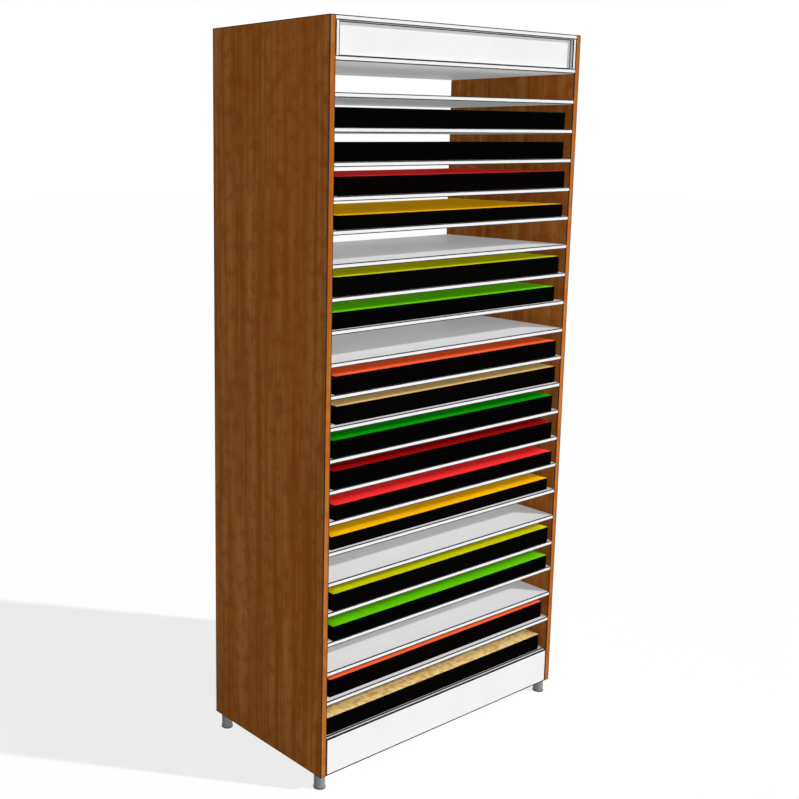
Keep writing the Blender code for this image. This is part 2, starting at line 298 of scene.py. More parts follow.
def span(tree, value, low, high, new_low=0.0, new_high=1.0, smooth=False):
    """Maps low to high onto new_low to new_high, and holds it there outside."""
    made = put(
        tree,
        "ShaderNodeMapRange",
        {"Value": value, "From Min": low, "From Max": high, "To Min": new_low, "To Max": new_high},
        interpolation_type="SMOOTHSTEP" if smooth else "LINEAR",
    )
    return made.outputs["Result"]


def blend_colours(tree, factor, first, second, share=1.0):
    """One colour Mix node's output, by that share of the factor."""
    if share != 1.0:
        factor = maths(tree, "MULTIPLY", factor, share)
    made = put(tree, "ShaderNodeMix", {0: factor}, data_type="RGBA")
    for number, value in ((6, first), (7, second)):
        if isinstance(value, bpy.types.NodeSocket):
            tree.links.new(value, made.inputs[number])
        else:
            made.inputs[number].default_value = tuple(value)[:3] + (1.0,)
    return made.outputs[2]


def noise(tree, vector, scale, detail=2.0, roughness=0.5):
    """One noise, from about 0 to 1."""
    made = put(
        tree,
        "ShaderNodeTexNoise",
        {"Vector": vector, "Scale": scale, "Detail": detail, "Roughness": roughness},
    )
    return made.outputs[0]


def new_group(name, kind, inputs, outputs):
    """An empty node group with named sockets: (group, its input node, its output node)."""
    group = bpy.data.node_groups.new(name, kind)
    for label, socket_type, default in inputs:
        socket = group.interface.new_socket(label, in_out="INPUT", socket_type=socket_type)
        if default is not None:
            socket.default_value = default
    for label, socket_type in outputs:
        group.interface.new_socket(label, in_out="OUTPUT", socket_type=socket_type)
    start = group.nodes.new("NodeGroupInput")
    end = group.nodes.new("NodeGroupOutput")
    return group, start, end


def link_outputs(group, end, **values):
    """Links each value to the group's output of that name."""
    for label, value in values.items():
        group.links.new(value, end.inputs[label])


def use_group(tree, group, **inputs):
    """Places a shader group. An input's name is written with _ for its spaces."""
    made = tree.nodes.new("ShaderNodeGroup")
    made.node_tree = group
    for name, value in inputs.items():
        socket = made.inputs[name.replace("_", " ")]
        if isinstance(value, bpy.types.NodeSocket):
            tree.links.new(value, socket)
        else:
            socket.default_value = value
    return made


# Effects that several finishes share


def grain_group():
    """Grain that runs along one axis: wide bands, fine streaks, soft flecks, pores, and their height."""
    name = "Grain"
    if name in bpy.data.node_groups:
        return bpy.data.node_groups[name]
    group, start, end = new_group(
        name,
        "ShaderNodeTree",
        [
            ("Vector", "NodeSocketVector", None),
            ("Streaks", "NodeSocketVector", (90.0, 90.0, 3.0)),
            ("Flecks", "NodeSocketVector", (34.0, 34.0, 20.0)),
            ("Sway", "NodeSocketFloat", 0.5),
        ],
        [
            ("Bands", "NodeSocketFloat"),
            ("Streaks", "NodeSocketFloat"),
            ("Flecks", "NodeSocketFloat"),
            ("Pores", "NodeSocketFloat"),
            ("Height", "NodeSocketFloat"),
        ],
    )
    drift = noise(group, start.outputs["Vector"], 2.6, 1.0)
    sway = maths(group, "MULTIPLY", maths(group, "SUBTRACT", drift, 0.5), start.outputs["Sway"])
    scaled = vector_maths(group, "MULTIPLY", start.outputs["Vector"], start.outputs["Streaks"])
    swayed = vector_maths(group, "ADD", scaled, sway)
    bands = span(group, noise(group, swayed, 0.20, 2.0), 0.36, 0.64, smooth=True)
    streaks = span(group, noise(group, swayed, 0.9, 3.0, 0.6), 0.34, 0.66)
    pores = span(group, noise(group, swayed, 5.2, 2.0), 0.60, 0.74)
    spots = vector_maths(group, "MULTIPLY", start.outputs["Vector"], start.outputs["Flecks"])
    flecks = span(group, noise(group, spots, 1.0, 3.0, 0.6), 0.42, 0.70, smooth=True)
    raised = maths(group, "MULTIPLY", streaks, 0.5)
    sunk = maths(group, "MULTIPLY", pores, 0.5)
    height = maths(group, "ADD", maths(group, "SUBTRACT", raised, sunk), 0.5)
    link_outputs(group, end, Bands=bands, Streaks=streaks, Flecks=flecks, Pores=pores, Height=height)
    return group


def handling_group():
    """Marks of use: broad smudges, fine scratches both ways, a few nicks, and their height."""
    name = "Handling Marks"
    if name in bpy.data.node_groups:
        return bpy.data.node_groups[name]
    group, start, end = new_group(
        name,
        "ShaderNodeTree",
        [
            ("Vector", "NodeSocketVector", None),
            ("Smudge Scale", "NodeSocketFloat", 7.0),
            ("Scratch Scale", "NodeSocketFloat", 40.0),
        ],
        [
            ("Smudge", "NodeSocketFloat"),
            ("Scratches", "NodeSocketFloat"),
            ("Speckle", "NodeSocketFloat"),
            ("Height", "NodeSocketFloat"),
        ],
    )
    vector = start.outputs["Vector"]
    cloud = noise(group, vector, start.outputs["Smudge Scale"], 4.0, 0.6)
    smudge = span(group, cloud, 0.40, 0.70, smooth=True)
    lines = []
    for stretch in ((1.0, 0.04, 1.0), (0.05, 1.0, 0.6)):
        drawn = vector_maths(group, "MULTIPLY", vector, stretch)
        thin = noise(group, drawn, start.outputs["Scratch Scale"], 3.0, 0.7)
        lines.append(span(group, thin, 0.70, 0.76))
    scratches = maths(group, "MAXIMUM", lines[0], lines[1])
    speckle = noise(group, vector, 900.0, 2.0)
    height = maths(group, "SUBTRACT", speckle, maths(group, "MULTIPLY", scratches, 0.6))
    link_outputs(group, end, Smudge=smudge, Scratches=scratches, Speckle=speckle, Height=height)
    return group


def fibre_group():
    """Matted fibres of paper and card: soft mottling, short fibres, specks, and their height."""
    name = "Sheet Fibre"
    if name in bpy.data.node_groups:
        return bpy.data.node_groups[name]
    group, start, end = new_group(
        name,
        "ShaderNodeTree",
        [
            ("Vector", "NodeSocketVector", None),
            ("Mottle Scale", "NodeSocketFloat", 60.0),
            ("Fibre Scale", "NodeSocketFloat", 420.0),
        ],
        [
            ("Mottle", "NodeSocketFloat"),
            ("Fibre", "NodeSocketFloat"),
            ("Specks", "NodeSocketFloat"),
            ("Height", "NodeSocketFloat"),
        ],
    )
    vector = start.outputs["Vector"]
    mottle = span(group, noise(group, vector, start.outputs["Mottle Scale"], 3.0, 0.6), 0.3, 0.7)
    strands = []
    for stretch in ((1.0, 0.22, 1.0), (0.22, 1.0, 1.0)):
        laid = vector_maths(group, "MULTIPLY", vector, stretch)
        strands.append(noise(group, laid, start.outputs["Fibre Scale"], 2.0, 0.6))
    fibre = span(group, maths(group, "MAXIMUM", strands[0], strands[1]), 0.40, 0.75)
    speck_scale = maths(group, "MULTIPLY", start.outputs["Fibre Scale"], 0.5)
    specks = span(group, noise(group, vector, speck_scale, 1.0), 0.66, 0.74)
    height = maths(group, "ADD", maths(group, "MULTIPLY", fibre, 0.6), maths(group, "MULTIPLY", mottle, 0.4))
    link_outputs(group, end, Mottle=mottle, Fibre=fibre, Specks=specks, Height=height)
    return group


# Finishes


def new_finish(name, specular=0.5, metallic=0.0):
    """A material with its Principled shader: (material, its tree, shader, object coordinates)."""
    made = bpy.data.materials.new(name)
    made.use_nodes = True
    tree = made.node_tree
    tree.nodes.clear()
    shader = put(tree, "ShaderNodeBsdfPrincipled")
    shader.inputs["Specular IOR Level"].default_value = specular
    shader.inputs["Metallic"].default_value = metallic
    output = tree.nodes.new("ShaderNodeOutputMaterial")
    tree.links.new(shader.outputs[0], output.inputs["Surface"])
    place = tree.nodes.new("ShaderNodeTexCoord").outputs["Object"]
    return made, tree, shader, place


def set_look(tree, shader, colour, mask, least, most):
    """The shader's colour, and its roughness, which goes from least to most with a mask."""
    tree.links.new(colour, shader.inputs["Base Color"])
    tree.links.new(span(tree, mask, 0.0, 1.0, least, most), shader.inputs["Roughness"])


def add_relief(tree, shader, height, strength, depth):
    """Bump of that depth, in metres, on the shader."""
    bump = put(tree, "ShaderNodeBump", {"Height": height, "Strength": strength, "Distance": depth})
    tree.links.new(bump.outputs["Normal"], shader.inputs["Normal"])


def made_before(name):
    """The material of that name, if an earlier step made it."""
    return bpy.data.materials.get(name)


def side_wood(timber):
    """Satin cherry-brown board: warm and olive streaks up the panel, with soft flecks and open pores."""
    if made_before("side_wood_board"):
        return made_before("side_wood_board")
    made, tree, shader, place = new_finish("side_wood_board", specular=0.05)
    grain = use_group(
        tree, grain_group(), Vector=place, Streaks=(56.0, 56.0, 1.3), Flecks=(30.0, 30.0, 27.0), Sway=1.2
    )
    streaked = blend_colours(tree, grain.outputs["Streaks"], timber.deep, timber.light)
    body = blend_colours(tree, grain.outputs["Bands"], streaked, timber.warm, 0.50)
    flecked = blend_colours(tree, grain.outputs["Flecks"], body, timber.fleck, 0.68)
    pored = blend_colours(tree, grain.outputs["Pores"], flecked, timber.fleck, 0.30)
    handled = use_group(tree, handling_group(), Vector=place, Smudge_Scale=5.0)
    set_look(tree, shader, pored, handled.outputs["Smudge"], 0.50, 0.62)
    add_relief(tree, shader, grain.outputs["Height"], 0.35, 0.0003)
    return made


def arris_stain(timber):
    """Darker stain in the eased arrises of the side panels, worn through in places."""
    if made_before("side_wood_arris"):
        return made_before("side_wood_arris")
    made, tree, shader, place = new_finish("side_wood_arris", specular=0.15)
    handled = use_group(tree, handling_group(), Vector=place, Smudge_Scale=11.0, Scratch_Scale=60.0)
    worn = blend_colours(tree, handled.outputs["Smudge"], timber.arris_stain, timber.fleck, 0.12)
    set_look(tree, shader, worn, span(tree, handled.outputs["Speckle"], 0.3, 0.7), 0.45, 0.65)
    add_relief(tree, shader, handled.outputs["Height"], 0.15, 0.0001)
    return made


def softwood(timber):
    """Bare planed softwood with its rings drawn out along the rack's depth."""
    if made_before("plinth_softwood"):
        return made_before("plinth_softwood")
    made, tree, shader, place = new_finish("plinth_softwood", specular=0.2)
    grain = use_group(
        tree, grain_group(), Vector=place, Streaks=(75.0, 4.0, 75.0), Flecks=(25.0, 25.0, 25.0), Sway=2.2
    )
    rings = maths(tree, "MULTIPLY", grain.outputs["Bands"], grain.outputs["Streaks"])
    body = blend_colours(tree, rings, timber.softwood, timber.softwood_late)
    knotty = blend_colours(tree, grain.outputs["Flecks"], body, timber.softwood_late, 0.5)
    set_look(tree, shader, knotty, grain.outputs["Streaks"], 0.68, 0.82)
    add_relief(tree, shader, grain.outputs["Height"], 0.5, 0.0004)
    return made


def white_face(boards):
    """Satin white board with a fine skin, dulled a little where it is handled."""
    if made_before("white_board_face"):
        return made_before("white_board_face")
    made, tree, shader, place = new_finish("white_board_face", specular=0.05)
    handled = use_group(tree, handling_group(), Vector=place, Smudge_Scale=6.0, Scratch_Scale=38.0)
    dulled = blend_colours(tree, handled.outputs["Smudge"], boards.face, boards.smudge, 0.35)
    scuffed = blend_colours(tree, handled.outputs["Scratches"], dulled, boards.smudge, 0.30)
    set_look(tree, shader, scuffed, handled.outputs["Smudge"], 0.42, 0.55)
    add_relief(tree, shader, handled.outputs["Height"], 0.12, 0.0001)
    return made


def core_line(boards):
    """Dark core of the boards, which shows as a line along each eased arris."""
    if made_before("white_board_core"):
        return made_before("white_board_core")
    made, tree, shader, place = new_finish("white_board_core", specular=0.1)
    handled = use_group(tree, handling_group(), Vector=place, Smudge_Scale=14.0, Scratch_Scale=70.0)
    worn = blend_colours(tree, handled.outputs["Smudge"], boards.core, boards.smudge, 0.05)
    set_look(tree, shader, worn, span(tree, handled.outputs["Speckle"], 0.3, 0.7), 0.5, 0.7)
    add_relief(tree, shader, handled.outputs["Height"], 0.15, 0.0001)
    return made


def post_metal(feet):
    """Satin grey coat on metal, with faint turning marks round the post."""
    if made_before("foot_post_metal"):
        return made_before("foot_post_metal")
    made, tree, shader, place = new_finish("foot_post_metal", specular=0.2)
    turned = use_group(
        tree, grain_group(), Vector=place, Streaks=(12.0, 12.0, 900.0), Flecks=(90.0, 90.0, 90.0), Sway=0.4
    )
    handled = use_group(tree, handling_group(), Vector=place, Smudge_Scale=45.0, Scratch_Scale=220.0)
    dull = tuple(0.90 * part for part in feet.post)
    bright = tuple(1.06 * part for part in feet.post)
    body = blend_colours(tree, turned.outputs["Streaks"], dull, bright)
    marked = blend_colours(tree, handled.outputs["Smudge"], body, dull, 0.4)
    set_look(tree, shader, marked, handled.outputs["Smudge"], 0.36, 0.50)
    add_relief(tree, shader, turned.outputs["Height"], 0.2, 0.00005)
    return made


def zinc(feet):
    """Zinc plating with its soft crystal patches."""
    if made_before("plate_zinc"):
        return made_before("plate_zinc")
    made, tree, shader, place = new_finish("plate_zinc", metallic=1.0)
    crystals = put(tree, "ShaderNodeTexVoronoi", {"Vector": place, "Scale": 260.0}, feature="F1")
    patch = maths(tree, "FRACT", maths(tree, "MULTIPLY", crystals.outputs["Color"], 3.0))
    handled = use_group(tree, handling_group(), Vector=place, Smudge_Scale=60.0, Scratch_Scale=300.0)
    dull = tuple(0.80 * part for part in feet.plate)
    body = blend_colours(tree, patch, feet.plate, dull, 0.6)
    marked = blend_colours(tree, handled.outputs["Smudge"], body, dull, 0.5)
    set_look(tree, shader, marked, patch, 0.30, 0.46)
    add_relief(tree, shader, handled.outputs["Height"], 0.2, 0.00005)
    return made


def glide_plastic(feet):
    """Matt black moulded plastic, scuffed grey."""
    if made_before("glide_plastic"):
        return made_before("glide_plastic")
    made, tree, shader, place = new_finish("glide_plastic", specular=0.06)
    handled = use_group(tree, handling_group(), Vector=place, Smudge_Scale=50.0, Scratch_Scale=260.0)
    scuffed = blend_colours(tree, handled.outputs["Scratches"], feet.glide, feet.scuff, 0.4)
    set_look(tree, shader, scuffed, handled.outputs["Smudge"], 0.50, 0.68)
    add_relief(tree, shader, handled.outputs["Height"], 0.3, 0.00006)
    return made


def sheet_face(paper, slot):
    """Matt card in one colour, with its mottling and fibres."""
    name = "card_" + slot
    if made_before(name):
        return made_before(name)
    made, tree, shader, place = new_finish(name, specular=0.06)
    base = tuple(getattr(paper, slot))
    mottle_scale = {"tan": 150.0, "cork_tan": 70.0}.get(slot, 46.0)
    fibres = use_group(tree, fibre_group(), Vector=place, Mottle_Scale=mottle_scale)
    deep = tuple(0.73 * part for part in base)
    pale = tuple(0.86 * part for part in base)
    body = blend_colours(tree, fibres.outputs["Mottle"], deep, pale)
    if slot == "tan":
        strands = use_group(tree, grain_group(), Vector=place, Streaks=(14.0, 190.0, 60.0), Sway=1.5)
        body = blend_colours(tree, strands.outputs["Streaks"], paper.tan_strand, body)
    if slot == "cork_tan":
        patches = span(tree, noise(tree, place, 62.0, 3.0, 0.6), 0.40, 0.56, smooth=True)
        body = blend_colours(tree, patches, paper.cork_dark, paper.cork_pale)
        granules = span(tree, noise(tree, place, 210.0, 2.0), 0.58, 0.72)
        body = blend_colours(tree, granules, body, paper.cork_dark, 0.6)
    fibred = blend_colours(tree, fibres.outputs["Fibre"], body, deep, 0.25)
    set_look(tree, shader, fibred, fibres.outputs["Mottle"], 0.82, 0.95)
    add_relief(tree, shader, fibres.outputs["Height"], 0.25, 0.0001)
    return made


def sheet_edges(paper, slot):
    """Near-black cut edges, sheet by sheet, with a breath of the top sheet's colour."""
    name = "edges_" + slot
    if made_before(name):
        return made_before(name)
    made, tree, shader, place = new_finish(name, specular=0.0)
    base = tuple(getattr(paper, slot))
    layers = vector_maths(tree, "MULTIPLY", place, (5.0, 5.0, 1.0 / paper.sheet))
    shade = span(tree, noise(tree, layers, 0.7, 2.0), 0.35, 0.65)
    tint = tuple(dark + 0.0015 * part for dark, part in zip(paper.edges, base))
    body = blend_colours(tree, shade, tuple(paper.edges), tint)
    fibres = use_group(tree, fibre_group(), Vector=place, Mottle_Scale=90.0, Fibre_Scale=600.0)
    pale = tuple(part + 0.002 for part in tint)
    linty = blend_colours(tree, fibres.outputs["Specks"], body, pale, 0.5)
    set_look(tree, shader, linty, fibres.outputs["Mottle"], 0.85, 1.0)
    add_relief(tree, shader, fibres.outputs["Height"], 0.2, 0.0001)
    return made


def floor_finish(stage):
    """Pale floor: the camera and polished surfaces see it nearly white, with the object's shadow kept."""
    if made_before("studio_floor"):
        return made_before("studio_floor")
    made, tree, shader, place = new_finish("studio_floor", specular=0.0)
    grit = noise(tree, place, 55.0, 4.0, 0.6)
    pale = tuple(0.985 * part for part in stage.floor)
    tree.links.new(blend_colours(tree, grit, pale, stage.floor), shader.inputs["Base Color"])
    shader.inputs["Roughness"].default_value = 0.9
    seen = maths(tree, "MULTIPLY", seen_directly(tree), stage.floor_glow)
    glow = put(tree, "ShaderNodeEmission", {"Color": WHITE, "Strength": seen})
    summed = put(tree, "ShaderNodeAddShader", {0: shader.outputs[0], 1: glow.outputs[0]})
    output = next(part for part in tree.nodes if part.type == "OUTPUT_MATERIAL")
    tree.links.new(summed.outputs[0], output.inputs["Surface"])
    return made


def seen_directly(tree):
    """1 for camera rays, and for what metal and glass show, else 0."""
    path = tree.nodes.new("ShaderNodeLightPath")
    seen = maths(tree, "MAXIMUM", path.outputs["Is Camera Ray"], path.outputs["Is Glossy Ray"])
    return maths(tree, "MAXIMUM", seen, path.outputs["Is Transmission Ray"])


# Shape detail on the packed solids


def arris_finder():
    """Geometry nodes that mark a board's arrises, the edges on two faces of its box, for a Bevel."""
    name = "Arris Finder"
    if name in bpy.data.node_groups:
        return bpy.data.node_groups[name]
    group, start, end = new_group(
        name,
        "GeometryNodeTree",
        [
            ("Geometry", "NodeSocketGeometry", None),
            ("Low", "NodeSocketVector", None),
            ("High", "NodeSocketVector", None),
        ],
        [("Geometry", "NodeSocketGeometry")],
    )
    ends = group.nodes.new("GeometryNodeInputMeshEdgeVertices")
    found = []
    for corner in ("Low", "High"):
        gaps = []
        for label in ("Position 1", "Position 2"):
            away = vector_maths(group, "SUBTRACT", ends.outputs[label], start.outputs[corner])
            gaps.append(vector_maths(group, "ABSOLUTE", away))
        furthest = vector_maths(group, "MAXIMUM", gaps[0], gaps[1])
        parts = put(group, "ShaderNodeSeparateXYZ", {0: furthest})
        found += [maths(group, "LESS_THAN", axis, ON_FACE_DISTANCE) for axis in parts.outputs]
    faces = found[0]
    for more in found[1:]:
        faces = maths(group, "ADD", faces, more)
    # On two faces or more
    weight = maths(group, "GREATER_THAN", faces, 1.5)
    store = put(
        group,
        "GeometryNodeStoreNamedAttribute",
        {"Geometry": start.outputs["Geometry"], "Name": "bevel_weight_edge", "Value": weight},
        data_type="FLOAT",
        domain="EDGE",
    )
    group.links.new(store.outputs["Geometry"], end.inputs["Geometry"])
    return group


def smooth_rounds():
    """Geometry nodes that shade round parts smoothly and keep their real edges sharp."""
    name = "Smooth Rounds"
    if name in bpy.data.node_groups:
        return bpy.data.node_groups[name]
    group, start, end = new_group(
        name,
        "GeometryNodeTree",
        [("Geometry", "NodeSocketGeometry", None)],
        [("Geometry", "NodeSocketGeometry")],
    )
    soft = put(
        group, "GeometryNodeSetShadeSmooth", {"Geometry": start.outputs["Geometry"]}, domain="FACE"
    )
    angle = group.nodes.new("GeometryNodeInputMeshEdgeAngle")
    sharp = put(
        group, "FunctionNodeCompare", {0: angle.outputs[0], 1: ROUND_ANGLE}, operation="GREATER_THAN"
    )
    edged = put(
        group,
        "GeometryNodeSetShadeSmooth",
        {"Geometry": soft.outputs[0], "Selection": sharp.outputs[0], "Shade Smooth": False},
        domain="EDGE",
    )
    group.links.new(edged.outputs[0], end.inputs["Geometry"])
    return group


def join_corners(solid):
    """Joins the corners that the import split, and each flat face's triangles."""
    weld = solid.modifiers.new("Joined corners", "WELD")
    weld.merge_threshold = WELD_DISTANCE
    flat = solid.modifiers.new("Flat faces", "DECIMATE")
    flat.decimate_type = "DISSOLVE"
    flat.angle_limit = FLAT_ANGLE


def ease_arrises(solid, width, ends=True):
    """Eases a board's outer arrises by a hair, with its last finish that wide on each face beside them."""
    join_corners(solid)
    low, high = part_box(solid["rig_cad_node"])
    if not ends:
        low.z -= NO_SUCH_FACE
        high.z += NO_SUCH_FACE
    finder = solid.modifiers.new("Arrises", "NODES")
    finder.node_group = arris_finder()
    for socket in finder.node_group.interface.items_tree:
        if socket.name in ("Low", "High"):
            finder[socket.identifier] = tuple(low if socket.name == "Low" else high)
    bevel = solid.modifiers.new("Eased arrises", "BEVEL")
    bevel.limit_method = "WEIGHT"
    bevel.width = width
    bevel.segments = ARRIS_SEGMENTS
    bevel.profile = ARRIS_SQUARENESS
    bevel.material = len(solid.data.materials) - 1


def round_edges(solid, width):
    """Rounds a turned or pressed part's sharp edges and shades its round faces smoothly."""
    join_corners(solid)
    bevel = solid.modifiers.new("Rounded edges", "BEVEL")
    bevel.limit_method = "ANGLE"
    bevel.angle_limit = SHARP_ANGLE
    bevel.width = width
    bevel.segments = ROUNDING_SEGMENTS
    shading = solid.modifiers.new("Smooth rounds", "NODES")
    shading.node_group = smooth_rounds()


def finish_solid(solid, *finishes):
    """Gives a packed solid its finishes, the main one first."""
    solid.data.materials.clear()
    for finish in finishes:
        solid.data.materials.append(finish)


def dress_board(node, boards, width, ends=True):
    """Gives a white board its face and its core line."""
    solid = frame["nodes"][node]
    finish_solid(solid, white_face(boards), core_line(boards))
    ease_arrises(solid, width, ends)


def new_piece(name, vertices, faces, finish, body):
    """A new mesh piece in its place, riding on a body."""
    for old in [made for made in bpy.data.objects if made.name == name]:
        bpy.data.objects.remove(old)
    mesh = bpy.data.meshes.new(name)
    mesh.from_pydata(vertices, [], faces)
    mesh.materials.append(finish)
    mesh.validate()
    piece = bpy.data.objects.new(name, mesh)
    bpy.context.scene.collection.objects.link(piece)
    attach(piece, body)
    return piece


# Steps


class DISPLAYRACK_OT_side_panels(Operator):
    """Give both side panels their grained wood and eased arrises"""

    bl_idname = "display_rack.side_panels"
    bl_label = "Side Panels"

    def execute(self, context):
        timber = context.scene.display_rack_timber
        for node in PANEL_NODES:
            solid = frame["nodes"][node]
            finish_solid(solid, side_wood(timber), arris_stain(timber))
            ease_arrises(solid, timber.arris)
        return {"FINISHED"}


class DISPLAYRACK_OT_header(Operator):
    """Give the header's boards, stiles and sign panel their white faces and core lines"""

    bl_idname = "display_rack.header"
    bl_label = "Header"

    def execute(self, context):
        boards = context.scene.display_rack_boards
        for node in HEADER_NODES:
            dress_board(node, boards, boards.arris, ends=not node.endswith("_stile"))
        return {"FINISHED"}


class DISPLAYRACK_OT_shelves(Operator):
    """Give the shelves their white faces and core lines"""

    bl_idname = "display_rack.shelves"
    bl_label = "Shelves"

    def execute(self, context):
        boards = context.scene.display_rack_boards
        for node in SHELF_NODES:
            dress_board(node, boards, boards.arris)
        return {"FINISHED"}


class DISPLAYRACK_OT_plinth(Operator):
    """Finish the bottom board, kick panel, rear rail and cleats"""

    bl_idname = "display_rack.plinth"
    bl_label = "Plinth"

    def execute(self, context):
        boards = context.scene.display_rack_boards
        timber = context.scene.display_rack_timber
        dress_board("bottom_board", boards, boards.arris)
        dress_board("kick_panel", boards, boards.kick_arris)
        dress_board("rear_plinth_rail", boards, boards.arris)
        for node in ("left_plinth_cleat", "right_plinth_cleat"):
            solid = frame["nodes"][node]
            finish_solid(solid, softwood(timber))
            ease_arrises(solid, timber.arris)
        return {"FINISHED"}


class DISPLAYRACK_OT_feet(Operator):
    """Finish the levelling feet and drive the plates' screws"""

    bl_idname = "display_rack.feet"
    bl_label = "Levelling Feet"

    def execute(self, context):
        feet = context.scene.display_rack_feet
        for place in FOOT_PLACES:
            for part, finish in (
                ("plate", zinc(feet)),
                ("post", post_metal(feet)),
                ("glide", glide_plastic(feet)),
            ):
                solid = frame["nodes"][f"{place}_foot_{part}"]
                finish_solid(solid, finish)
                round_edges(solid, feet.edge)
            drive_plate_screws(place, feet)
        return {"FINISHED"}


def drive_plate_screws(place, feet):
    """Two domed screws beside the post, up through the mounting plate."""
    low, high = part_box(f"{place}_foot_plate")
    side = -1.0 if "left" in place else 1.0
    inner = min(abs(low.x), abs(high.x))
    post_low, post_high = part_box(f"{place}_foot_post")
    post_inner = min(abs(post_low.x), abs(post_high.x))
    across = side * (inner + post_inner) / 2.0
    middle = (low.y + high.y) / 2.0
    for number, along in enumerate((middle - SCREW_SPREAD, middle + SCREW_SPREAD), 1):
        centre = Vector((across, along, low.z))
        vertices, faces = domed_screw(centre, feet.screw_radius, feet.screw_height)
        piece = new_piece(
            f"{place}_plate_screw_{number}",
            vertices,
            faces,
            zinc(feet),
            NODE_BODIES[f"{place}_foot_plate"],
        )
        for face in piece.data.polygons:
            level = abs(face.normal.z) >= 0.995
            face.use_smooth = len(face.vertices) == 4 and not level


def domed_screw(centre, radius, height):
    """A domed head that points down, with a cross recess cut in its middle."""
    sides = SCREW_SIDES
    rings = ((1.0, 0.0), (1.0, 0.30), (0.93, 0.62), (0.78, 0.86), (0.56, 1.0))
    vertices = []
    for share, drop in rings:
        for step in range(sides):
            angle = math.tau * step / sides
            out = share * radius
            vertices.append(
                centre + Vector((out * math.cos(angle), out * math.sin(angle), -drop * height))
            )
    faces = []
    for ring in range(len(rings) - 1):
        for step in range(sides):
            after = (step + 1) % sides
            faces.append(
                (
                    ring * sides + step,
                    ring * sides + after,
                    (ring + 1) * sides + after,
                    (ring + 1) * sides + step,
                )
            )
    # The recess: its rim is a cross inside the last ring, and its floor lies deeper
    rim_start = (len(rings) - 1) * sides
    long, short = 0.44 * radius, 0.10 * radius
    depth = 0.6 * height
    cross = []
    for turn in range(4):
        angle = math.tau * turn / 4.0
        for along, aside in ((long, -short), (long, short), (short, short)):
            cross.append(
                Vector(
                    (
                        along * math.cos(angle) - aside * math.sin(angle),
                        along * math.sin(angle) + aside * math.cos(angle),
                        -height,
                    )
                )
            )
    first = len(vertices)
    vertices += [centre + point for point in cross]
    floor = len(vertices)
    vertices += [centre + point + Vector((0.0, 0.0, depth)) for point in cross]
    count = len(cross)
    for step in range(count):
        after = (step + 1) % count
        faces.append((first + step, first + after, floor + after, floor + step))
        rim = [rim_start + (2 * step + sides - 2 + extra) % sides for extra in range(3)]
        faces.append((rim[0], rim[1], first + after, first + step))
        faces.append((rim[1], rim[2], first + after))
    faces.append(tuple(range(floor, floor + count)))
    return vertices, faces


class DISPLAYRACK_OT_paper_piles(Operator):
    """Build each pile of card sheet by sheet, with its coloured top sheet"""

    bl_idname = "display_rack.paper_piles"
    bl_label = "Paper Piles"

    def execute(self, context):
        paper = context.scene.display_rack_paper
        for node in PILE_NODES:
            stack_pile(node, paper)
        return {"FINISHED"}


def stack_pile(node, paper):
    """One pile: the lower sheets as one ridged block, and the top sheet lying on it."""
    low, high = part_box(node)
    chance = random.Random(f"{node} {paper.seed}")
    slot = NODE_SLOTS[node]
    top_sheet_low = high.z - paper.curl - paper.sheet / 2.0
    vertices, faces = ridged_block(low, high, top_sheet_low, paper, chance)
    cut = sheet_edges(paper, slot)
    block = new_piece(node + "_sheets", vertices, faces, cut, NODE_BODIES[node])
    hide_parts(node)
    vertices, faces = lying_sheet(low, high, top_sheet_low, paper, chance)
    top = new_piece(node + "_top_sheet", vertices, faces, sheet_face(paper, slot), NODE_BODIES[node])
    top.data.materials.append(cut)
    for face in top.data.polygons:
        lies_flat = abs(face.normal.z) > 0.9
        face.use_smooth = lies_flat
        face.material_index = 0 if lies_flat else 1
    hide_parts(node)


def ridged_block(low, high, top, paper, chance):
    """Sheets of one size that lie a hair off each other: a closed block with a ridge for each."""
    count = max(2, round((top - low.z) / paper.sheet))
    thickness = (top - low.z) / count
    drift = [0.5, 0.5]
    vertices = []
    for sheet in range(count):
        drift = [min(1.0, max(0.0, part + chance.uniform(-0.32, 0.32))) for part in drift]
        skew = chance.uniform(-0.15, 0.15)
        shift_x = paper.ragged * drift[0]
        shift_y = paper.ragged * drift[1]
        for height in (low.z + sheet * thickness, low.z + (sheet + 1) * thickness):
            for corner_x, corner_y in ((0, 0), (1, 0), (1, 1), (0, 1)):
                lean = paper.ragged * skew * (1.0 if corner_x == corner_y else -1.0)
                x = (low.x, high.x)[corner_x] + shift_x - paper.ragged * corner_x
                y = (low.y, high.y)[corner_y] + shift_y - paper.ragged * corner_y
                x = min(high.x, max(low.x, x + lean))
                y = min(high.y, max(low.y, y - lean))
                vertices.append((x, y, height))
    faces = [(3, 2, 1, 0)]
    for ring in range(2 * count - 1):
        for step in range(4):
            after = (step + 1) % 4
            faces.append((4 * ring + step, 4 * ring + after, 4 * ring + 4 + after, 4 * ring + 4 + step))
    last = 4 * (2 * count - 1)
    faces.append((last, last + 1, last + 2, last + 3))
    return vertices, faces


